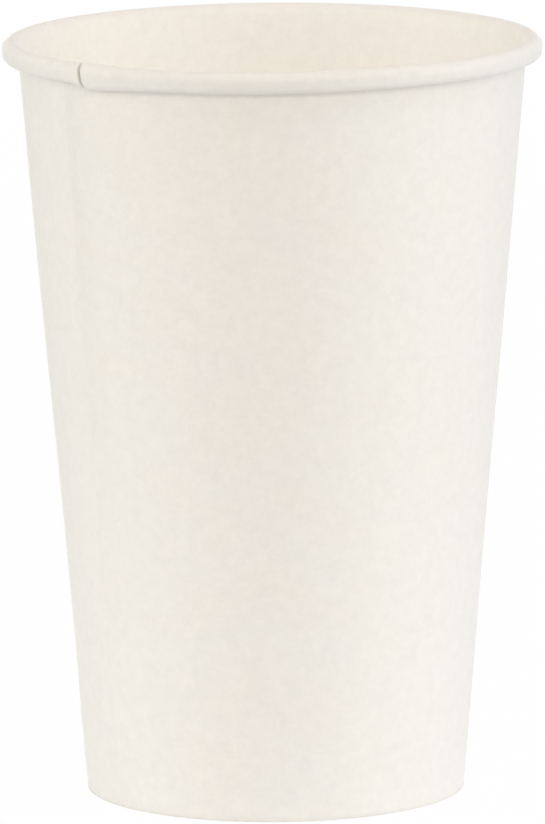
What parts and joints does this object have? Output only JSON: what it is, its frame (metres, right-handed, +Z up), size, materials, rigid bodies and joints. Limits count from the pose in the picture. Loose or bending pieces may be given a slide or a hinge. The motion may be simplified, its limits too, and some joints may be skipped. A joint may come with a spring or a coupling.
{
  "type": "paper coffee cup",
  "caption": "Plain white single-wall paper hot-drink cup: tapered wall with an overlapped side seam, outward-rolled rim and a recessed bottom.",
  "frame": {"origin": "centre of the circle that the foot stands on", "axes": "+Z up along the cup's axis to its mouth; -Y towards the viewer of the picture, with the side seam to the left of -Y"},
  "size_m": [0.08, 0.08, 0.1125],
  "materials": {
    "wall_board": "uncoated white board outside, thin clear coating inside",
    "bottom_board": "uncoated white board below, thin clear coating above"
  },
  "bodies": {
    "root": {"side_wall": "wall_board", "bottom_disc": "bottom_board"}
  },
  "joints": []
}
